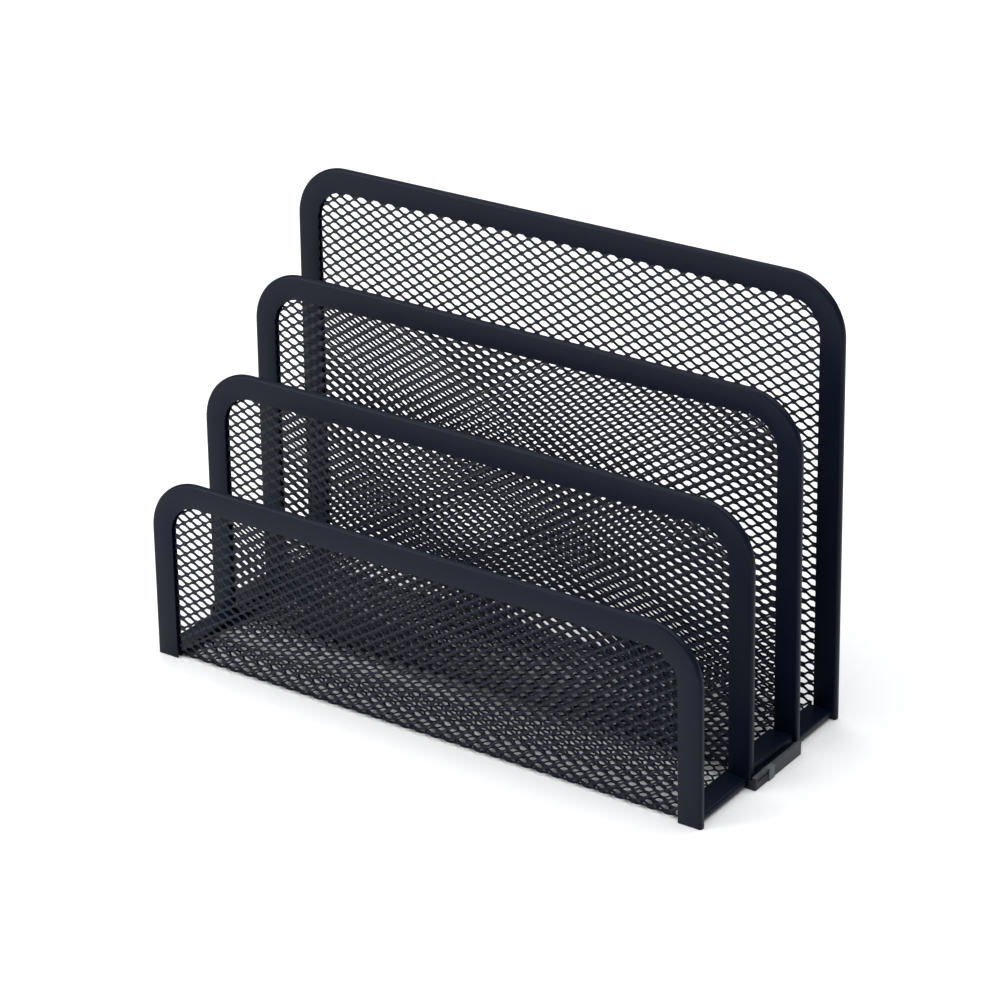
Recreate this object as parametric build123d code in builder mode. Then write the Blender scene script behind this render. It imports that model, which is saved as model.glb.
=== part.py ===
from build123d import *
import os
from math import radians, tan

# Desk letter sorter: four mesh panels in folded-steel rims over a mesh floor.
#
# Millimetres, +Z up. X runs across the panels and Y from front to back. The origin is on the
# surface that it stands on, under the middle of the whole object.

# ---- overall sizes ------------------------------------------------------------------------
panel_width = 181.0      # across a rim, outside, where its legs end
front_height = 56.0      # top of each rim above the surface it stands on
second_height = 80.0
third_height = 102.0
back_height = 127.5
front_slot = 22.9        # clear distance between neighbouring rims, front to back
middle_slot = 21.8
rear_slot = 19.1

# ---- folded steel strip, the same for every rim and rail ------------------------------------
strip_face = 7.1         # width of the strip's flat face
strip_gauge = 0.5        # steel sheet that the strip is folded from
strip_round = 0.8        # outer edges of the fold
corner_radius = 16.5     # outside radius of a rim's top corners
leg_draw_in = 0.7        # degrees: legs lean towards each other as they rise

# ---- expanded metal ----------------------------------------------------------------------------
mesh_thick = 0.9         # over the strands
mesh_clearance = 0.1     # between the sheet and each flange of the strip folded over it
mesh_edge_gap = 1.2      # from the sheet's edge to the inside of the strip's fold
fold_radius = 1.5        # middle of the sheet, at the foot of each wall
fold_lift = 0.1          # underside of the outer sheet's folds above the surface
fold_flat = 3.0          # flat at the bottom of such a fold
fold_run = 8.0           # from the wall to where the floor has risen from such a fold

# ---- floor rails and clip feet -----------------------------------------------------------------
rail_lift = 0.8          # underside of the outer rails above the surface
rail_inset = 1.2         # outer edge of a rail inside the outer face of a leg
foot_wall = 1.2          # clip foot: thickness of its outer wall
foot_rise = 0.9          # top of that wall above the rail
foot_tongue = 6.0        # reach of its tongue under the rail
foot_round = 0.5         # outer edges of that wall
foot_gap = 0.2           # clearance to the legs and to the rail's edge
notch_gap = 0.4          # clearance round the corners cut out of the sheets
overrun = 1.0            # how far a cutting outline runs past the legs' ends

# ---- places worked out from the sizes ------------------------------------------------------------
strip_thick = mesh_thick + 2 * mesh_clearance + 2 * strip_gauge
half_width = panel_width / 2
depth = front_slot + middle_slot + rear_slot + 4 * strip_thick
front_y = -depth / 2
second_y = front_y + strip_thick + front_slot
third_y = second_y + strip_thick + middle_slot
back_y = third_y + strip_thick + rear_slot
rail_outer = half_width - rail_inset
rail_inner = rail_outer - strip_face
outer_rail_top = rail_lift + strip_thick
inner_rail_top = outer_rail_top + strip_thick
half_slot = (strip_thick - 2 * strip_gauge) / 2
draw_in = tan(radians(leg_draw_in))
notch_half = rail_inner - notch_gap

PANELS = {
    "front": (front_y, front_height, 0.0),
    "second": (second_y, second_height, outer_rail_top),
    "third": (third_y, third_height, outer_rail_top),
    "back": (back_y, back_height, 0.0),
}


def half_width_at(height):
    """Outer face of a leg at a height: the legs draw in as they rise."""
    return half_width - draw_in * height


def panel_outline(plane, height, bottom, inset=0.0, below=0.0):
    """A panel's outline as a face on a plane, smaller by inset on its sides and top."""
    top = height - inset
    foot = bottom - below
    with BuildSketch(plane) as outline:
        with BuildLine():
            Polyline(
                (inset - half_width_at(foot), foot),
                (inset - half_width_at(top), top),
                (half_width_at(top) - inset, top),
                (half_width_at(foot) - inset, foot),
                close=True,
            )
        make_face()
        fillet(outline.vertices().group_by(Axis.Y)[-1], radius=corner_radius - inset)
    return outline.sketch


def save(builder, name):
    """Label a finished piece and write it as its own STEP file."""
    builder.part.label = name
    export_step(builder.part, f"parts/{name}.step")


def make_rim(name, y_front, height, bottom):
    """Inverted-U rim: a folded strip, open towards the window, with rounded top corners."""
    front_plane = Plane((0, y_front, 0), x_dir=(1, 0, 0), z_dir=(0, -1, 0))
    slot_plane = front_plane.offset(half_slot - strip_thick / 2)
    with BuildPart() as rim:
        extrude(panel_outline(front_plane, height, bottom), amount=-strip_thick)
        flat_faces = rim.faces().filter_by(Axis.Y)
        long_edges = flat_faces.edges().filter_by(lambda edge: edge.center().Z > bottom + strip_thick)
        fillet(long_edges, radius=strip_round)
        window = panel_outline(front_plane, height, bottom, strip_face, overrun)
        extrude(window, amount=-strip_thick, mode=Mode.SUBTRACT)
        slot = panel_outline(slot_plane, height, bottom, strip_gauge, overrun)
        extrude(slot, amount=-2 * half_slot, mode=Mode.SUBTRACT)
    save(rim, f"{name}_rim")


def make_rail(name, side, bottom, y_start, y_end):
    """Floor rail: the same folded strip laid flat, open towards the middle."""
    level = bottom + strip_thick / 2
    slot_width = strip_face - strip_gauge
    with BuildPart() as rail:
        with BuildSketch(Plane((0, y_start, 0), x_dir=(1, 0, 0), z_dir=(0, -1, 0))):
            with Locations((side * (rail_inner + strip_face / 2), level)):
                strip = Rectangle(strip_face, strip_thick)
            outside = strip.vertices().group_by(Axis.X)[-1 if side > 0 else 0]
            fillet(outside, radius=strip_round)
            with Locations((side * (rail_inner + slot_width / 2), level)):
                Rectangle(slot_width, 2 * half_slot, mode=Mode.SUBTRACT)
        extrude(amount=y_start - y_end)
    save(rail, name)


def make_sheet(name, route, radii, tallest, notches, notch_top):
    """Mesh sheet: folded along a route of (y, z) points, its corners notched clear of the strips."""
    half = min(half_width_at(tallest), rail_outer) - strip_gauge - mesh_edge_gap
    with BuildPart() as sheet:
        with BuildSketch(Plane.YZ):
            with BuildLine():
                path = FilletPolyline(*route, radius=radii)
            trace(path, line_width=mesh_thick)
        extrude(amount=half, both=True)
        side_edges = sheet.edges().filter_by(Axis.Y)
        top_corners = side_edges.filter_by(lambda edge: edge.center().Z > notch_top)
        fillet(top_corners, radius=corner_radius - strip_gauge - mesh_edge_gap)
        for y_low, y_high in notches:
            for side in (-1, 1):
                with Locations((side * (notch_half + half) / 2, (y_low + y_high) / 2, notch_top / 2)):
                    Box(half - notch_half, y_high - y_low, notch_top, mode=Mode.SUBTRACT)
    save(sheet, name)


def make_foot(name, side):
    """Clip foot: a tongue under the outer rail and a wall outside the divider's legs."""
    wall_inside = half_width + foot_gap
    wall_outside = wall_inside + foot_wall
    wall_top = outer_rail_top + foot_rise
    step_height = outer_rail_top - foot_gap
    profile = [
        (rail_outer - foot_tongue, 0),
        (wall_outside, 0),
        (wall_outside, wall_top),
        (wall_inside, wall_top),
        (wall_inside, step_height),
        (rail_outer + foot_gap, step_height),
        (rail_outer + foot_gap, rail_lift),
        (rail_outer - foot_tongue, rail_lift),
    ]
    with BuildPart() as foot:
        with BuildSketch(Plane((0, second_y, 0), x_dir=(1, 0, 0), z_dir=(0, -1, 0))):
            with BuildLine():
                Polyline(*[(side * x, z) for x, z in profile], close=True)
            make_face()
        extrude(amount=second_y - third_y)
        outer_face = foot.faces().sort_by(Axis.X)[-1 if side > 0 else 0]
        fillet(outer_face.edges(), radius=foot_round)
    save(foot, name)


os.makedirs("parts", exist_ok=True)

for panel, (y_front, height, bottom) in PANELS.items():
    make_rim(panel, y_front, height, bottom)

for side_name, side in (("left", -1), ("right", 1)):
    make_rail(f"{side_name}_outer_rail", side, rail_lift, front_y + strip_thick, back_y)
    make_rail(f"{side_name}_inner_rail", side, outer_rail_top, second_y + strip_thick, third_y)
    make_foot(f"{side_name}_foot", side)

sheet_inset = strip_gauge + mesh_edge_gap
front_mid, second_mid, third_mid, back_mid = [y + strip_thick / 2 for y, height, bottom in PANELS.values()]
outer_fold = fold_lift + mesh_thick / 2
outer_floor = rail_lift + strip_thick / 2
inner_floor = outer_rail_top + strip_thick / 2
outer_reach = strip_thick / 2 + fold_run + fold_radius / 2 + notch_gap
inner_reach = max(strip_thick, strip_thick / 2 + fold_radius) + notch_gap

make_sheet(
    "outer_mesh",
    [
        (front_mid, front_height - sheet_inset),
        (front_mid, outer_fold),
        (front_mid + fold_flat, outer_fold),
        (front_mid + fold_run, outer_floor),
        (back_mid - fold_run, outer_floor),
        (back_mid - fold_flat, outer_fold),
        (back_mid, outer_fold),
        (back_mid, back_height - sheet_inset),
    ],
    fold_radius,
    back_height,
    [(front_y, front_y + outer_reach), (back_y + strip_thick - outer_reach, back_y + strip_thick)],
    outer_rail_top + notch_gap,
)
make_sheet(
    "inner_mesh",
    [
        (second_mid, second_height - sheet_inset),
        (second_mid, inner_floor),
        (third_mid, inner_floor),
        (third_mid, third_height - sheet_inset),
    ],
    fold_radius,
    third_height,
    [(second_y, second_y + inner_reach), (third_y + strip_thick - inner_reach, third_y + strip_thick)],
    inner_rail_top + notch_gap,
)
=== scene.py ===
"""Desk letter sorter: the visible strips, meshes and feet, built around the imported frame."""
from math import ceil, cos, pi, radians, sin, tan

import bmesh
import bpy
from mathutils import Matrix, Vector


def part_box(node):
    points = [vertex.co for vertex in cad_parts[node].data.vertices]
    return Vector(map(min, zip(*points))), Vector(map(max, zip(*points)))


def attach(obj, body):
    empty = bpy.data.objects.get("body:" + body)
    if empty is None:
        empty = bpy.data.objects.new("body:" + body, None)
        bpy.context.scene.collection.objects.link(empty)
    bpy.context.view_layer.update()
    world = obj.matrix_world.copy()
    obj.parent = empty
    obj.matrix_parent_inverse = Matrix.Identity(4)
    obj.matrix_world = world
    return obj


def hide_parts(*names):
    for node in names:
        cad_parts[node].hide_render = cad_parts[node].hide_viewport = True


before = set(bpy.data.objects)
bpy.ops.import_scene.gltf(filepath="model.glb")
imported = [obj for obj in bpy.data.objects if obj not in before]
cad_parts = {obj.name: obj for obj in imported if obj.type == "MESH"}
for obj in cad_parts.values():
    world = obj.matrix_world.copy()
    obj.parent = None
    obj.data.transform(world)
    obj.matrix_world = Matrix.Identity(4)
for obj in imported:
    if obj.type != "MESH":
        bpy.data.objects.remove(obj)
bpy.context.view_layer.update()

bl_info = {
    "name": "Mesh letter sorter",
    "version": (1, 0, 0),
    "blender": (4, 5, 0),
    "location": "View3D > Sidebar > Letter Sorter",
    "description": "Folded-strip rims, expanded-metal sheets and clip feet of a desk letter sorter",
    "category": "Add Mesh",
}

MM = 0.001
BODY = "root"
RIMS = ("front_rim", "second_rim", "third_rim", "back_rim")
SIDES = (("left", -1), ("right", 1))

# ---- how fine the modelling is --------------------------------------------------------------------
MERGE = 0.001 * MM  # vertices closer than this are one
WEAVE_MERGE = 0.01 * MM  # the same between repeats of the weave
ON_FACE = 0.05 * MM  # how near to a plane a face's centre is when the face lies on it
FOLD_SEGMENTS = 6  # facets of the strip's outer edges
CORNER_STEPS = 20  # facets of a rim's corner
SHEET_FOLD_STEPS = 16  # facets of a fold in a sheet
SHARP_ANGLE = radians(50)  # edges sharper than this are rounded
STRIP_SMOOTH_ANGLE = radians(35)  # faces that meet flatter than this look round
SHEET_SMOOTH_ANGLE = radians(40)
CORNER_TRIM = 0.9 * MM  # cuts at a sheet's corner stay this far inside the corner's round
CORNER_TILTS = (radians(22.5), radians(45), radians(67.5))

# ---- studio ---------------------------------------------------------------------------------------
FLOOR_SIZE = 8
FLOOR_LEVEL = -0.05 * MM
LIGHTS = (
    # name, place, target, size, colour
    ("key", (-0.8, -0.9, 0.5), (0, 0, 0.05), 0.7, (1.0, 0.99, 0.97)),
    ("fill", (1.5, -0.9, 0.8), (0, 0, 0.05), 1.0, (0.94, 0.97, 1.0)),
    ("top", (0, 0.1, 2.4), (0, 0, 0), 4.0, (1.0, 1.0, 1.0)),
)


# ---- sizes and colours that a user would change -------------------------------------------------


def length(name, description, default):
    """A length in metres that shows in the scene's own unit."""
    return bpy.props.FloatProperty(
        name=name,
        description=description,
        default=default,
        min=0.0,
        precision=5,
        subtype="DISTANCE",
        unit="LENGTH",
    )


def angle(name, description, default):
    """An angle, kept in radians."""
    return bpy.props.FloatProperty(
        name=name, description=description, default=radians(default), subtype="ANGLE", unit="ROTATION"
    )


def fraction(name, description, default):
    """A plain number between nought and one."""
    return bpy.props.FloatProperty(name=name, description=description, default=default, min=0.0, max=1.0)


def colour(name, description, default):
    """A linear colour."""
    return bpy.props.FloatVectorProperty(
        name=name, description=description, default=default, size=3, min=0.0, max=1.0, subtype="COLOR"
    )


RAIL_LOW, RAIL_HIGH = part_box("right_outer_rail")


class SorterStrip(bpy.types.PropertyGroup):
    """Sizes of the folded steel strip."""

    face: length("Face", "Width of the strip's flat face", RAIL_HIGH.x - RAIL_LOW.x)
    thickness: length("Thickness", "Over both flanges", RAIL_HIGH.z - RAIL_LOW.z)
    gauge: length("Gauge", "Steel sheet that the strip is folded from", 0.5 * MM)
    fold_round: length("Fold round", "Outer edges of the fold", 0.8 * MM)
    lip_round: length("Lip round", "Paint-filled rounding of the flanges' free edges", 0.14 * MM)
    corner_radius: length("Corner radius", "Outside radius of a rim's top corners", 16.5 * MM)
    lean: angle("Lean", "How far the legs lean towards each other as they rise", 0.7)


class SorterMesh(bpy.types.PropertyGroup):
    """Sizes of the expanded metal."""

    long_pitch: length("Long pitch", "Diamond to diamond along a row", 4.95 * MM)
    short_pitch: length("Short pitch", "Row to row of whole diamonds", 3.2 * MM)
    bond: length("Bond", "Length of the knuckle where two strands stay joined", 1.25 * MM)
    strand: length("Strand", "Width of a strand, seen square on to the sheet", 0.61 * MM)
    gauge: length("Gauge", "Steel sheet that the mesh is slit from, with its paint", 0.4 * MM)
    twist: angle("Twist", "Turn of the strands out of the sheet", 25.0)
    edge_gap: length("Edge gap", "Sheet's edge to the inside of the strip's fold", 1.2 * MM)
    fold_radius: length("Fold radius", "Middle of the sheet, at the foot of each wall", 1.5 * MM)
    fold_flat: length("Fold flat", "Flat at the bottom of the outer sheet's folds", 3.0 * MM)
    fold_run: length("Fold run", "From a wall to where the outer floor has risen from its fold", 8.0 * MM)
    notch_gap: length("Notch gap", "Clearance round the corners cut out of a sheet", 0.4 * MM)


class SorterFoot(bpy.types.PropertyGroup):
    """Sizes of the clip feet."""

    gap: length("Gap", "Clearance to the rail and the legs", 0.2 * MM)
    edge_round: length("Edge round", "Rounding of the edges", 0.22 * MM)
    groove: length("Groove", "Depth of the groove under the top edge", 0.35 * MM)
    groove_width: length("Groove width", "Height of the groove", 0.6 * MM)
    groove_drop: length("Groove drop", "Upper side of the groove below the top edge", 0.9 * MM)
    groove_start: length("Groove start", "Front of the wall to the groove", 1.2 * MM)
    groove_end: length("Groove end", "Front of the wall to the end of the groove", 6.5 * MM)
    catch: length("Catch", "How far the catch stands out of the wall", 0.3 * MM)
    catch_length: length("Catch length", "Length of the catch, behind the groove", 3.0 * MM)


class SorterFinish(bpy.types.PropertyGroup):
    """Colours and gloss."""

    paint: colour("Paint", "Powder coat on the strips", (0.0026, 0.0046, 0.0135))
    mesh_paint: colour("Mesh paint", "Powder coat on the expanded metal", (0.0024, 0.0042, 0.0130))
    plastic: colour("Plastic", "Moulded feet", (0.009, 0.011, 0.016))
    # Pale colour of the feet's painted highlight along the top edge; the catch is painted in it too
    highlight_and_catch_plastic: colour("Highlight and catch plastic", "Painted highlight on the feet's top edge, and their paler catch", (0.110, 0.125, 0.130))
    paint_roughness: fraction("Paint roughness", "Roughness of the powder coat", 0.42)
    reflectance: fraction("Reflectance", "Specular level of the powder coat", 0.13)
    floor: colour("Floor", "Studio floor", (0.93, 0.935, 0.945))


class SorterStudio(bpy.types.PropertyGroup):
    """Camera and lights."""

    azimuth: angle("Azimuth", "Turn of the camera to the right of the front", 35.16)
    elevation: angle("Elevation", "Camera above the horizon", 24.62)
    roll: angle("Roll", "Turn of the camera about its own axis", -0.90)
    distance: length("Distance", "Camera to the middle of the view", 0.9054)
    target_height: length("Target height", "Middle of the view above the floor", 0.063)
    lens: bpy.props.FloatProperty(name="Lens", description="Focal length in millimetres", default=120.2)
    shift_x: bpy.props.FloatProperty(name="Shift X", description="Sideways shift", default=0.0117)
    shift_y: bpy.props.FloatProperty(name="Shift Y", description="Upward shift", default=-0.0213)
    ambient: bpy.props.FloatProperty(name="Ambient", description="Light from all round", default=0.10)
    key: bpy.props.FloatProperty(name="Key", description="Power of the key light", default=11.0)
    fill: bpy.props.FloatProperty(name="Fill", description="Power of the fill light", default=1.5)
    top: bpy.props.FloatProperty(name="Top", description="Power of the light overhead", default=124.0)


# ---- working in edit mode -----------------------------------------------------------------------


def deselect():
    """Back to object mode with nothing selected."""
    if bpy.context.object and bpy.context.object.mode != "OBJECT":
        bpy.ops.object.mode_set(mode="OBJECT")
    bpy.ops.object.select_all(action="DESELECT")


def activate(piece):
    """Make one piece the only one selected."""
    deselect()
    piece.select_set(True)
    bpy.context.view_layer.objects.active = piece


def settle(piece):
    """Move a piece's place, turn and size into its mesh."""
    activate(piece)
    bpy.ops.object.transform_apply(location=True, rotation=True, scale=True)


def pick(piece, domain, test):
    """In edit mode, select only the vertices, edges or faces whose centre passes a test."""
    bpy.ops.mesh.select_mode(type=domain)
    bpy.ops.mesh.select_all(action="DESELECT")
    mesh = bmesh.from_edit_mesh(piece.data)
    for element in {"VERT": mesh.verts, "EDGE": mesh.edges, "FACE": mesh.faces}[domain]:
        corners = [element] if domain == "VERT" else element.verts
        centre = sum((corner.co for corner in corners), Vector()) / len(corners)
        if test(centre):
            element.select_set(True)
    mesh.select_flush_mode()
    bmesh.update_edit_mesh(piece.data)


def extrude(step):
    """Extrude what is selected by a step."""
    bpy.ops.mesh.extrude_region_move(TRANSFORM_OT_translate={"value": tuple(step)})


def cut_away(point, normal):
    """Cut the whole mesh at a plane and throw away what is on its normal's side."""
    bpy.ops.mesh.select_all(action="SELECT")
    bpy.ops.mesh.bisect(plane_co=point, plane_no=normal, clear_outer=True)


def finish_with(piece, kind, **settings):
    """Add a modifier to a piece and apply it."""
    activate(piece)
    modifier = piece.modifiers.new(kind.title(), kind)
    for name, value in settings.items():
        setattr(modifier, name, value)
    bpy.ops.object.modifier_apply(modifier=modifier.name)


def face_outwards(piece):
    """Merge doubles and point every face outwards."""
    activate(piece)
    bpy.ops.object.mode_set(mode="EDIT")
    bpy.ops.mesh.select_all(action="SELECT")
    bpy.ops.mesh.remove_doubles(threshold=MERGE)
    bpy.ops.mesh.normals_make_consistent(inside=False)
    bpy.ops.object.mode_set(mode="OBJECT")


def hand_over(piece, name, node, material):
    """Name a finished piece, paint it and put it in its CAD node's place."""
    piece.name = name
    piece.data.name = name
    piece.data.materials.clear()
    piece.data.materials.append(material)
    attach(piece, BODY)
    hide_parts(node)


# ---- materials ----------------------------------------------------------------------------------


class Socket:
    """An output of a shader node. Arithmetic on it adds Math nodes."""

    def __init__(self, shader, socket):
        self.shader = shader
        self.socket = socket

    def math(self, operation, first, second):
        return self.shader.add("ShaderNodeMath", {"operation": operation}, {0: first, 1: second})[0]

    def __add__(self, other):
        return self.math("ADD", self, other)

    def __sub__(self, other):
        return self.math("SUBTRACT", self, other)

    def __mul__(self, other):
        return self.math("MULTIPLY", self, other)

    def __rsub__(self, other):
        return self.math("SUBTRACT", other, self)

    __radd__ = __add__
    __rmul__ = __mul__

    def clamped(self):
        return self.shader.add("ShaderNodeClamp", {}, {"Value": self})[0]


class Shader:
    """One material's nodes, ending in a Principled shader."""

    def __init__(self, name):
        self.material = bpy.data.materials.new(name)
        self.material.use_nodes = True
        self.tree = self.material.node_tree
        self.tree.nodes.clear()
        self.place = self.add("ShaderNodeTexCoord", {}, {})[3]

    def add(self, kind, settings, sockets):
        """Add a node: its settings first, then the values or links of its sockets."""
        node = self.tree.nodes.new(kind)
        for name, value in settings.items():
            setattr(node, name, value)
        for key, value in sockets.items():
            if isinstance(value, Socket):
                self.tree.links.new(value.socket, node.inputs[key])
            else:
                node.inputs[key].default_value = value
        return [Socket(self, output) for output in node.outputs]

    def noise(self, grain, detail=2.0, roughness=0.5):
        """Noise whose blobs are about grain metres across."""
        sockets = {"Vector": self.place, "Scale": 1 / grain, "Detail": detail, "Roughness": roughness}
        return self.add("ShaderNodeTexNoise", {}, sockets)[0]

    def mix(self, factor, first, second):
        """Blend two linear colours."""
        sockets = {0: factor, 6: opaque(first), 7: opaque(second)}
        return self.add("ShaderNodeMix", {"data_type": "RGBA"}, sockets)[2]

    def bump(self, height, depth, strength=1.0):
        """Normal of a surface whose height of one is depth metres."""
        return self.add("ShaderNodeBump", {}, {"Height": height, "Distance": depth, "Strength": strength})[0]

    def finish(self, **sockets):
        """Feed the Principled shader and the output. Gives the material."""
        named = {name.replace("_", " "): value for name, value in sockets.items()}
        surface = self.add("ShaderNodeBsdfPrincipled", {}, named)[0]
        self.add("ShaderNodeOutputMaterial", {}, {"Surface": surface})
        return self.material


def opaque(value):
    """A colour with its alpha, or a socket as it is."""
    return value if isinstance(value, Socket) else (*value, 1.0)


def scaled(tint, factor):
    """A colour made lighter or darker."""
    return [min(1.0, channel * factor) for channel in tint]


def powder_coat(name, tint, roughness, reflectance):
    """Satin powder coat: cloudy tone, orange-peel skin and a duller, paler bloom in patches."""
    shader = Shader(name)
    cloud = shader.noise(18 * MM, detail=3.0)
    speck = shader.noise(0.35 * MM, detail=1.0)
    peel = shader.noise(0.9 * MM, detail=2.0, roughness=0.45)
    tone = shader.mix(cloud, scaled(tint, 0.82), scaled(tint, 1.22))
    dusty = ((speck - 0.62) * 5.0).clamped() * 0.5
    skin = peel + speck * 0.25
    return shader.finish(
        Base_Color=shader.mix(dusty, tone, scaled(tint, 2.2)),
        Roughness=roughness + (cloud - 0.5) * 0.12 + (speck - 0.5) * 0.08,
        Specular_IOR_Level=reflectance,
        Normal=shader.bump(skin, 0.02 * MM, 0.55),
    )


def moulded_plastic(name, tint, highlight_and_catch_tint, foot, low, high):
    """Moulded plastic: fine spark texture, a painted highlight along the top edge, and paler over the catch.
    """
    shader = Shader(name)
    spark = shader.noise(0.22 * MM, detail=3.0)
    flow = shader.noise(2.5 * MM, detail=2.0)
    along, height = shader.add("ShaderNodeSeparateXYZ", {}, {0: shader.place})[1:]
    sharpness = 1 / foot.edge_round
    catch_front = low.y + foot.groove_end
    catch_back = catch_front + foot.catch_length
    # Painted highlight: the round of the top edge is painted pale, standing in for the light that it catches
    top_edge_highlight = ((height - (high.z - foot.edge_round)) * sharpness).clamped()
    catch = ((along - catch_front) * sharpness).clamped() * ((catch_back - along) * sharpness).clamped()
    # Pale over the painted top-edge highlight and over the catch, patchy with the flow noise
    painted_highlight_and_catch = (top_edge_highlight * 0.7 + catch) * (flow + 0.3)
    moulded = shader.mix(flow, scaled(tint, 0.6), scaled(tint, 1.8))
    return shader.finish(
        Base_Color=shader.mix(painted_highlight_and_catch.clamped(), moulded, highlight_and_catch_tint),
        Roughness=0.46 + (spark - 0.5) * 0.2,
        Specular_IOR_Level=0.3,
        Normal=shader.bump(spark, 0.015 * MM, 0.6),
    )


def studio_floor(name, tint):
    """Matt seamless floor with a trace of unevenness."""
    shader = Shader(name)
    patch = shader.noise(0.25, detail=2.0)
    return shader.finish(
        Base_Color=shader.mix(patch, scaled(tint, 0.985), tint),
        Roughness=0.85 + (patch - 0.5) * 0.05,
    )


def material(name, maker, *details):
    """A material by name, made the first time that it is asked for. The frame has materials of its own,
    named after the slots, so no name here is a slot's."""
    return bpy.data.materials.get(name) or maker(name, *details)


def strip_paint():
    finish = bpy.context.scene.sorter_finish
    details = (finish.paint, finish.paint_roughness, finish.reflectance)
    return material("strip_powder_coat", powder_coat, *details)


def mesh_paint():
    finish = bpy.context.scene.sorter_finish
    details = (finish.mesh_paint, finish.paint_roughness, finish.reflectance)
    return material("mesh_powder_coat", powder_coat, *details)


# ---- folded strip -------------------------------------------------------------------------------


def start_strip(strip, middle, turn, outer_side):
    """The strip's folded section as a chain of edges, open on the side away from the outer one."""
    deselect()
    bpy.ops.mesh.primitive_plane_add(size=1, location=middle)
    piece = bpy.context.object
    piece.rotation_euler = turn
    piece.scale = (strip.face, strip.thickness, 1)
    settle(piece)
    bpy.ops.object.mode_set(mode="EDIT")
    centre = Vector(middle)
    pick(piece, "VERT", lambda place: (place.x - centre.x) * outer_side > 0)
    bpy.ops.mesh.bevel(offset=strip.fold_round, segments=FOLD_SEGMENTS, affect="VERTICES")
    bpy.ops.mesh.select_all(action="SELECT")
    bpy.ops.mesh.delete(type="ONLY_FACE")
    pick(piece, "EDGE", lambda place: (centre.x - place.x) * outer_side > 0.45 * strip.face)
    bpy.ops.mesh.delete(type="EDGE")
    bpy.ops.mesh.select_all(action="SELECT")
    return piece


def furthest_back_and_up(piece):
    """How far a mesh reaches along Y and Z."""
    return [max(vertex.co[axis] for vertex in piece.data.vertices) for axis in (1, 2)]


def thicken_strip(piece, strip):
    """Give the folded sheet its gauge, inwards, and round the flanges' edges with paint."""
    deselect()
    before = furthest_back_and_up(piece)
    finish_with(piece, "SOLIDIFY", offset=-1.0, thickness=strip.gauge, use_even_offset=True)
    after = furthest_back_and_up(piece)
    if any(new > old + strip.gauge / 2 for old, new in zip(before, after)):
        raise RuntimeError(f"{piece.name} thickened outwards")
    face_outwards(piece)
    finish_with(
        piece, "BEVEL", width=strip.lip_round, segments=2, limit_method="ANGLE", angle_limit=SHARP_ANGLE
    )
    activate(piece)
    bpy.ops.object.shade_smooth_by_angle(angle=STRIP_SMOOTH_ANGLE)


def make_rim(strip, node):
    """Rim: the strip run up a leg, round a corner, across the top and down again."""
    low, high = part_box(node)
    middle_y = (low.y + high.y) / 2
    lean, radius = strip.lean, strip.corner_radius
    turn = pi / 2 - lean
    foot = low.z - strip.gauge
    outer = low.x + (low.z - foot) * -tan(lean)
    apex = Vector((low.x + (high.z - low.z) * tan(lean), 0, high.z))
    rise = Vector((sin(lean), 0, cos(lean)))
    inward = Vector((cos(lean), 0, -sin(lean)))
    start = Vector((outer, middle_y, foot))
    leg_end = apex - rise * radius * tan(turn / 2)
    run = Vector((leg_end.x - start.x, 0, leg_end.z - start.z)).length
    arc_centre = leg_end + inward * radius
    piece = start_strip(strip, start + inward * strip.face / 2, (0, lean, 0), -1)
    extrude(rise * run)
    near_centre = (arc_centre.x, middle_y, arc_centre.z)
    bpy.ops.mesh.spin(steps=CORNER_STEPS, angle=-turn, center=near_centre, axis=(0, 1, 0))
    extrude((-2 * arc_centre.x, 0, 0))
    far_centre = (-arc_centre.x, middle_y, arc_centre.z)
    bpy.ops.mesh.spin(steps=CORNER_STEPS, angle=-turn, center=far_centre, axis=(0, 1, 0))
    extrude(Vector((sin(lean), 0, -cos(lean))) * run)
    cut_away((0, 0, low.z), (0, 0, -1))
    bpy.ops.mesh.select_all(action="SELECT")
    bpy.ops.mesh.remove_doubles(threshold=MERGE)
    point_at_outside(piece, Vector((0, middle_y, 0)), (0, 1, 0))
    thicken_strip(piece, strip)
    return piece


def point_at_outside(piece, centre, axis):
    """Turn an open strip's faces so that its flanges look away from the strip's middle plane."""
    along = Vector(axis)
    mesh = bmesh.from_edit_mesh(piece.data)
    mesh.normal_update()
    outward = 0.0
    for face in mesh.faces:
        past_middle = (face.calc_center_median() - centre).dot(along) > 0
        facing = face.calc_area() * face.normal.dot(along)
        outward += facing if past_middle else -facing
    if outward < 0:
        bpy.ops.mesh.select_all(action="SELECT")
        bpy.ops.mesh.flip_normals()


def make_rail(strip, node, side):
    """Rail: the strip laid flat, its fold outwards."""
    low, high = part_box(node)
    middle = Vector(((low.x + high.x) / 2, low.y, (low.z + high.z) / 2))
    piece = start_strip(strip, middle, (pi / 2, 0, 0), side)
    extrude((0, high.y - low.y, 0))
    bpy.ops.mesh.select_all(action="SELECT")
    point_at_outside(piece, middle, (0, 0, 1))
    thicken_strip(piece, strip)
    return piece


# ---- expanded metal -----------------------------------------------------------------------------


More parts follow.
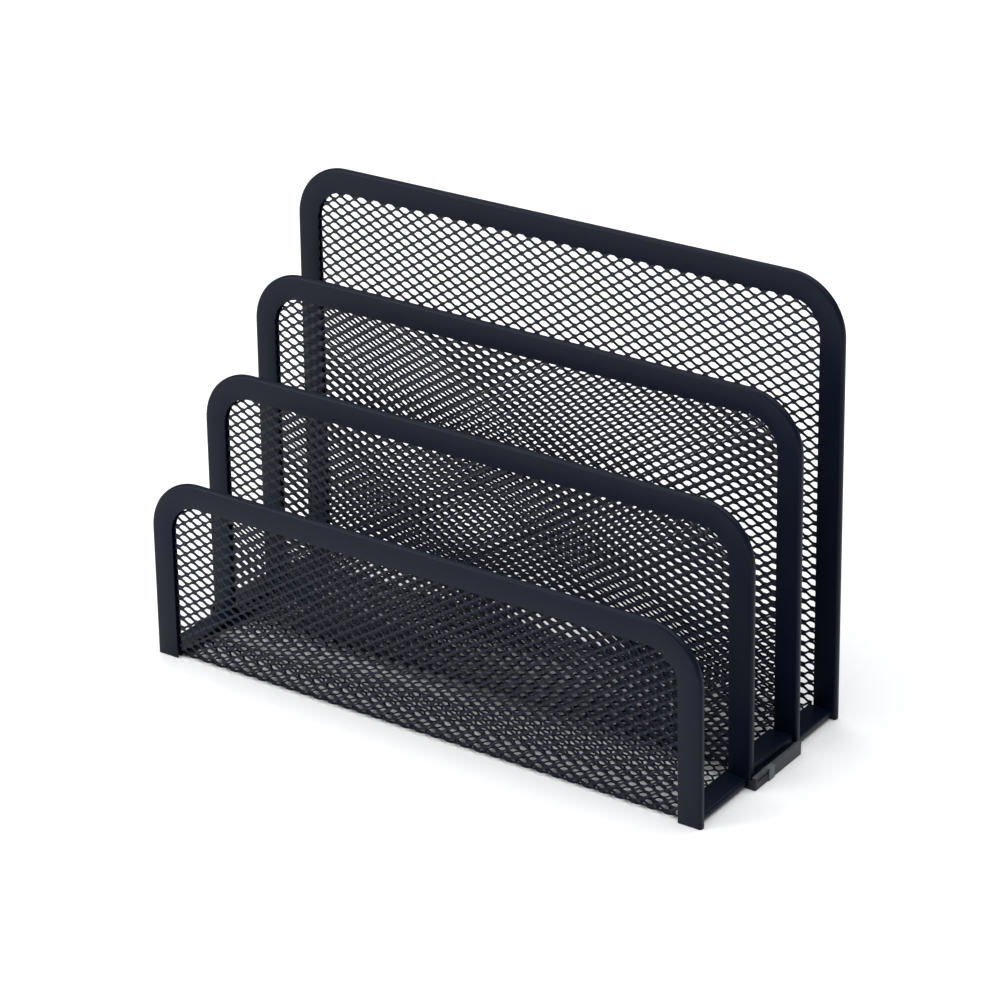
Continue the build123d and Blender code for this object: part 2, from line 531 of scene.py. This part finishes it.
def weave_strip(mesh):
    """One wave of a slit strand over a whole pitch: knuckle, slope, knuckle, slope. X is along the
    sheet, Y across it and Z out of it."""
    run = mesh.long_pitch / 2 - mesh.bond
    drop = mesh.short_pitch / 2 - mesh.strand
    lift = mesh.strand * tan(mesh.twist)
    deselect()
    bpy.ops.mesh.primitive_plane_add(size=1, location=((mesh.short_pitch - mesh.strand) / 2, 0, -lift / 2))
    piece = bpy.context.object
    piece.rotation_euler = (0, -mesh.twist, 0)
    piece.scale = (mesh.strand / cos(mesh.twist), mesh.bond, 1)
    settle(piece)
    bpy.ops.object.mode_set(mode="EDIT")
    pick(piece, "EDGE", lambda place: place.y > 0.4 * mesh.bond)
    extrude((-drop, run, lift))
    extrude((0, mesh.bond, 0))
    extrude((drop, run, -lift))
    bpy.ops.mesh.select_all(action="SELECT")
    bpy.ops.mesh.duplicate_move(
        TRANSFORM_OT_translate={"value": (mesh.short_pitch / 2, -mesh.long_pitch / 2, 0)}
    )
    bpy.ops.object.mode_set(mode="OBJECT")
    return piece


def flat_sheet(mesh, strip, run, half):
    """A flat sheet of diamonds, run long and two halves wide, with its corners cut to the rims' rounds."""
    piece = weave_strip(mesh)
    merge = {"use_relative_offset": False, "use_constant_offset": True, "use_merge_vertices": True}
    merge["merge_threshold"] = WEAVE_MERGE
    across = ceil(half / mesh.long_pitch) + 1
    finish_with(
        piece, "ARRAY", count=2 * across, constant_offset_displace=(0, mesh.long_pitch, 0), **merge
    )
    along = ceil(run / mesh.short_pitch) + 2
    finish_with(piece, "ARRAY", count=along, constant_offset_displace=(mesh.short_pitch, 0, 0), **merge)
    piece.location = (-mesh.short_pitch, -across * mesh.long_pitch, 0)
    settle(piece)
    bpy.ops.object.mode_set(mode="EDIT")
    bpy.ops.mesh.select_all(action="SELECT")
    bpy.ops.mesh.remove_doubles(threshold=WEAVE_MERGE)
    cut_away((0, 0, 0), (-1, 0, 0))
    cut_away((run, 0, 0), (1, 0, 0))
    cut_away((0, half, 0), (0, 1, 0))
    cut_away((0, -half, 0), (0, -1, 0))
    inset = strip.gauge + mesh.edge_gap
    radius = strip.corner_radius - inset
    reach = radius - CORNER_TRIM
    for end, outwards in ((radius, -1), (run - radius, 1)):
        for side in (-1, 1):
            centre = Vector((end, side * (half - radius), 0))
            for tilt in CORNER_TILTS:
                normal = Vector((outwards * cos(tilt), side * sin(tilt), 0))
                cut_away(centre + normal * reach, normal)
    return piece


def notch(piece, beyond, start, end):
    """Clear the sheet's corners where a leg meets a rail."""
    pick(piece, "FACE", lambda place: abs(place.y) > beyond and start < place.x < end)
    bpy.ops.mesh.delete(type="FACE")


def fold_line(route, radius):
    """The sheet's profile as a curve: straight runs with a round fold at each inner corner."""
    deselect()
    bpy.ops.curve.primitive_bezier_curve_add()
    line = bpy.context.object
    points = [Vector(point) for point in route]
    stations = [(points[0], points[0], points[0] + (points[1] - points[0]) * 0.1)]
    for before, corner, after in zip(points, points[1:], points[2:]):
        entry, leave = (corner - before).normalized(), (after - corner).normalized()
        bend = entry.angle(leave)
        back = radius * tan(bend / 2)
        handle = 4 / 3 * tan(bend / 4) * radius
        first, last = corner - entry * back, corner + leave * back
        stations.append((first, first - entry * handle, first + entry * handle))
        stations.append((last, last - leave * handle, last + leave * handle))
    tail = points[-1]
    stations.append((tail, tail - (tail - points[-2]) * 0.1, tail))
    spline = line.data.splines[0]
    spline.bezier_points.add(len(stations) - 2)
    for point, (place, left, right) in zip(spline.bezier_points, stations):
        point.handle_left_type = point.handle_right_type = "FREE"
        point.co = (*place, 0)
        point.handle_left = (*left, 0)
        point.handle_right = (*right, 0)
    line.data.dimensions = "2D"
    line.data.resolution_u = SHEET_FOLD_STEPS
    line.data.fill_mode = "NONE"
    return line


def route_length(route, radius):
    """Length of the folded line, its corners cut to arcs."""
    points = [Vector(point) for point in route]
    total = sum((after - before).length for before, after in zip(points, points[1:]))
    for before, corner, after in zip(points, points[1:], points[2:]):
        bend = (corner - before).angle(after - corner)
        total -= radius * (2 * tan(bend / 2) - bend)
    return total


def make_sheet(mesh, strip, route, half, wall_notches):
    """Expanded-metal sheet: woven flat, trimmed, notched, folded along its route and stood up."""
    run = route_length(route, mesh.fold_radius)
    piece = flat_sheet(mesh, strip, run, half)
    beyond, front_notch, back_notch = wall_notches
    notch(piece, beyond, *front_notch)
    notch(piece, beyond, run - back_notch[1], run - back_notch[0])
    bpy.ops.object.mode_set(mode="OBJECT")
    piece.rotation_euler = (pi / 2, 0, 0)
    settle(piece)
    line = fold_line(route, mesh.fold_radius)
    finish_with(piece, "CURVE", object=line, deform_axis="POS_X")
    bpy.data.objects.remove(line)
    piece.rotation_euler = (pi / 2, 0, pi / 2)
    settle(piece)
    finish_with(piece, "SOLIDIFY", thickness=mesh.gauge, offset=0.0)
    face_outwards(piece)
    activate(piece)
    bpy.ops.object.shade_smooth_by_angle(angle=SHEET_SMOOTH_ANGLE)
    return piece


# ---- clip feet ----------------------------------------------------------------------------------


def make_foot(foot, node, side):
    """Clip foot: a wall outside the legs, a step under it and a tongue below the rail."""
    low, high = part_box(node)
    rail_low, rail_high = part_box(node.replace("_foot", "_outer_rail"))
    outer = high.x if side > 0 else low.x
    tongue_end = low.x if side > 0 else high.x
    rail_edge = rail_high.x if side > 0 else rail_low.x
    inner = side * (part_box("front_rim")[1].x + foot.gap)
    wall = abs(outer - inner)
    deselect()
    bpy.ops.mesh.primitive_cube_add(size=1, location=((outer + inner) / 2, (low.y + high.y) / 2, high.z / 2))
    piece = bpy.context.object
    piece.scale = (wall, high.y - low.y, high.z)
    settle(piece)
    bpy.ops.object.mode_set(mode="EDIT")
    step_top = rail_high.z - foot.gap
    for level in (rail_low.z, step_top):
        bpy.ops.mesh.select_all(action="SELECT")
        bpy.ops.mesh.bisect(plane_co=(0, 0, level), plane_no=(0, 0, 1))
    near = 0.1 * wall
    pick(piece, "FACE", lambda place: abs(place.x - inner) < near and place.z < step_top)
    step_x = rail_edge + side * foot.gap
    extrude((step_x - inner, 0, 0))
    pick(piece, "FACE", lambda place: abs(place.x - step_x) < near and place.z < rail_low.z)
    extrude((tongue_end - step_x, 0, 0))
    detail_wall(piece, foot, side, outer, low, high)
    bpy.ops.object.mode_set(mode="OBJECT")
    face_outwards(piece)
    finish_with(
        piece, "BEVEL", width=foot.edge_round, segments=2, limit_method="ANGLE", angle_limit=SHARP_ANGLE
    )
    activate(piece)
    bpy.ops.object.shade_smooth_by_angle(angle=STRIP_SMOOTH_ANGLE)
    return piece


def detail_wall(piece, foot, side, outer, low, high):
    """Groove below the wall's top edge over its front third, and the catch just behind it."""
    groove_front, groove_back = low.y + foot.groove_start, low.y + foot.groove_end
    catch_back = groove_back + foot.catch_length
    groove_high = high.z - foot.groove_drop
    groove_low = groove_high - foot.groove_width
    planes = [((0, y, 0), (0, 1, 0)) for y in (groove_front, groove_back, catch_back)]
    planes += [((0, 0, z), (0, 0, 1)) for z in (groove_low, groove_high)]
    for point, normal in planes:
        bpy.ops.mesh.select_all(action="SELECT")
        bpy.ops.mesh.bisect(plane_co=point, plane_no=normal)

    def on_wall(place, front, back):
        return abs(place.x - outer) < ON_FACE and front < place.y < back

    pick(
        piece,
        "FACE",
        lambda place: on_wall(place, groove_front, groove_back) and groove_low < place.z < groove_high,
    )
    extrude((-side * foot.groove, 0, 0))
    pick(piece, "FACE", lambda place: on_wall(place, groove_back, catch_back))
    extrude((side * foot.catch, 0, 0))


# ---- operators ----------------------------------------------------------------------------------


class SORTER_OT_rims(bpy.types.Operator):
    """Folded-strip rims round the four panels"""

    bl_idname = "sorter.rims"
    bl_label = "Rims"

    def execute(self, context):
        for node in RIMS:
            piece = make_rim(context.scene.sorter_strip, node)
            hand_over(piece, f"{node}_strip", node, strip_paint())
        return {"FINISHED"}


class SORTER_OT_rails(bpy.types.Operator):
    """Floor rails, outer and inner, on both sides"""

    bl_idname = "sorter.rails"
    bl_label = "Rails"

    def execute(self, context):
        for side_name, side in SIDES:
            for layer in ("outer", "inner"):
                node = f"{side_name}_{layer}_rail"
                piece = make_rail(context.scene.sorter_strip, node, side)
                hand_over(piece, f"{node}_strip", node, strip_paint())
        return {"FINISHED"}


class SORTER_OT_sheets(bpy.types.Operator):
    """Expanded-metal sheets: the outer one with the floor, the inner one with the dividers"""

    bl_idname = "sorter.sheets"
    bl_label = "Mesh Sheets"

    def execute(self, context):
        mesh, strip = context.scene.sorter_mesh, context.scene.sorter_strip
        inset = strip.gauge + mesh.edge_gap
        centres = {node: (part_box(node)[0].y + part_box(node)[1].y) / 2 for node in RIMS}
        tops = {node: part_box(node)[1].z - inset for node in RIMS}
        rail_low, rail_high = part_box("right_outer_rail")
        inner_low, inner_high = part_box("right_inner_rail")
        beyond = rail_low.x - mesh.notch_gap
        front, second, third, back = (centres[node] for node in RIMS)
        outer_floor = (rail_low.z + rail_high.z) / 2
        half_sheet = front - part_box("outer_mesh")[0].y
        outer_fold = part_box("outer_mesh")[0].z + half_sheet
        outer_route = [
            (front, tops["front_rim"]),
            (front, outer_fold),
            (front + mesh.fold_flat, outer_fold),
            (front + mesh.fold_run, outer_floor),
            (back - mesh.fold_run, outer_floor),
            (back - mesh.fold_flat, outer_fold),
            (back, outer_fold),
            (back, tops["back_rim"]),
        ]
        outer_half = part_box("outer_mesh")[1].x
        leg_notch = rail_high.z + mesh.notch_gap
        reach = mesh.fold_run + mesh.fold_radius / 2 + mesh.notch_gap
        outer_notches = (
            beyond,
            (tops["front_rim"] - leg_notch, tops["front_rim"] - outer_fold + reach),
            (tops["back_rim"] - leg_notch, tops["back_rim"] - outer_fold + reach),
        )
        piece = make_sheet(mesh, strip, outer_route, outer_half, outer_notches)
        hand_over(piece, "outer_mesh_sheet", "outer_mesh", mesh_paint())

        inner_floor = (inner_low.z + inner_high.z) / 2
        inner_route = [
            (second, tops["second_rim"]),
            (second, inner_floor),
            (third, inner_floor),
            (third, tops["third_rim"]),
        ]
        inner_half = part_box("inner_mesh")[1].x
        leg_notch = inner_high.z + mesh.notch_gap
        reach = mesh.fold_radius + mesh.notch_gap
        inner_notches = (
            beyond,
            (tops["second_rim"] - leg_notch, tops["second_rim"] - inner_floor + reach),
            (tops["third_rim"] - leg_notch, tops["third_rim"] - inner_floor + reach),
        )
        piece = make_sheet(mesh, strip, inner_route, inner_half, inner_notches)
        hand_over(piece, "inner_mesh_sheet", "inner_mesh", mesh_paint())
        return {"FINISHED"}


class SORTER_OT_feet(bpy.types.Operator):
    """Plastic clip feet under the rails"""

    bl_idname = "sorter.feet"
    bl_label = "Feet"

    def execute(self, context):
        foot, finish = context.scene.sorter_foot, context.scene.sorter_finish
        for side_name, side in SIDES:
            node = f"{side_name}_foot"
            piece = make_foot(foot, node, side)
            details = (finish.plastic, finish.highlight_and_catch_plastic, foot, *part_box(node))
            plastic = material("moulded_clip", moulded_plastic, *details)
            hand_over(piece, f"{node}_clip", node, plastic)
        return {"FINISHED"}


def aim(thing, target):
    """Turn a light so that it shines at a point."""
    thing.rotation_euler = (Vector(target) - thing.location).to_track_quat("-Z", "Y").to_euler()


def add_panel_light(name, place, target, size, power, tint):
    """A soft rectangular light."""
    deselect()
    bpy.ops.object.light_add(type="AREA", location=place)
    light = bpy.context.object
    light.name = name
    light.data.shape = "SQUARE"
    light.data.size = size
    light.data.energy = power
    light.data.color = tint
    aim(light, target)


class SORTER_OT_studio(bpy.types.Operator):
    """Pale floor, soft lights and the camera"""

    bl_idname = "sorter.studio"
    bl_label = "Studio"

    def execute(self, context):
        studio, finish = context.scene.sorter_studio, context.scene.sorter_finish
        deselect()
        bpy.ops.mesh.primitive_plane_add(size=FLOOR_SIZE, location=(0, 0, FLOOR_LEVEL))
        floor = context.object
        settle(floor)
        floor.name = "studio_floor"
        floor.data.materials.append(material("studio_floor", studio_floor, finish.floor))
        for name, place, target, size, tint in LIGHTS:
            add_panel_light(name, place, target, size, getattr(studio, name), tint)
        world = bpy.data.worlds.new("studio_world")
        world.use_nodes = True
        background = world.node_tree.nodes["Background"]
        background.inputs["Color"].default_value = (0.96, 0.98, 1.0, 1.0)
        background.inputs["Strength"].default_value = studio.ambient
        context.scene.world = world
        context.scene.view_settings.view_transform = "Standard"
        self.add_camera(context, studio)
        return {"FINISHED"}

    def add_camera(self, context, studio):
        """Camera at the chosen angle, with its small roll and shift."""
        deselect()
        bpy.ops.object.camera_add()
        camera = context.object
        azimuth, elevation, roll = studio.azimuth, studio.elevation, studio.roll
        back = Vector((sin(azimuth) * cos(elevation), -cos(azimuth) * cos(elevation), sin(elevation)))
        right = (-back).cross(Vector((0, 0, 1))).normalized()
        up = right.cross(-back)
        rolled_right = right * cos(roll) + up * sin(roll)
        rolled_up = up * cos(roll) - right * sin(roll)
        place = Matrix((rolled_right, rolled_up, back)).transposed().to_4x4()
        place.translation = Vector((0, 0, studio.target_height)) + back * studio.distance
        camera.matrix_world = place
        camera.data.lens = studio.lens
        camera.data.shift_x = studio.shift_x
        camera.data.shift_y = studio.shift_y
        camera.data.clip_start = 0.01
        context.scene.camera = camera


class SORTER_PT_panel(bpy.types.Panel):
    """Sizes, colours and the steps that build the sorter"""

    bl_idname = "SORTER_PT_panel"
    bl_label = "Letter Sorter"
    bl_space_type = "VIEW_3D"
    bl_region_type = "UI"
    bl_category = "Letter Sorter"

    def draw(self, context):
        for name in SETTINGS:
            group = getattr(context.scene, name)
            box = self.layout.box()
            box.label(text=name.split("_")[1].title())
            for key in group.bl_rna.properties.keys():
                if key not in ("rna_type", "name"):
                    box.prop(group, key)
        for operator in OPERATORS:
            self.layout.operator(operator.bl_idname)


SETTINGS = {
    "sorter_strip": SorterStrip,
    "sorter_mesh": SorterMesh,
    "sorter_foot": SorterFoot,
    "sorter_finish": SorterFinish,
    "sorter_studio": SorterStudio,
}
OPERATORS = (SORTER_OT_rims, SORTER_OT_rails, SORTER_OT_sheets, SORTER_OT_feet, SORTER_OT_studio)


def register():
    for name, group in SETTINGS.items():
        bpy.utils.register_class(group)
        setattr(bpy.types.Scene, name, bpy.props.PointerProperty(type=group))
    for operator in OPERATORS:
        bpy.utils.register_class(operator)
    bpy.utils.register_class(SORTER_PT_panel)


def unregister():
    bpy.utils.unregister_class(SORTER_PT_panel)
    for operator in reversed(OPERATORS):
        bpy.utils.unregister_class(operator)
    for name, group in reversed(SETTINGS.items()):
        delattr(bpy.types.Scene, name)
        bpy.utils.unregister_class(group)


def main():
    register()
    bpy.ops.sorter.rims()
    bpy.ops.sorter.rails()
    bpy.ops.sorter.sheets()
    bpy.ops.sorter.feet()
    bpy.ops.sorter.studio()
    deselect()


if __name__ == "__main__":
    main()
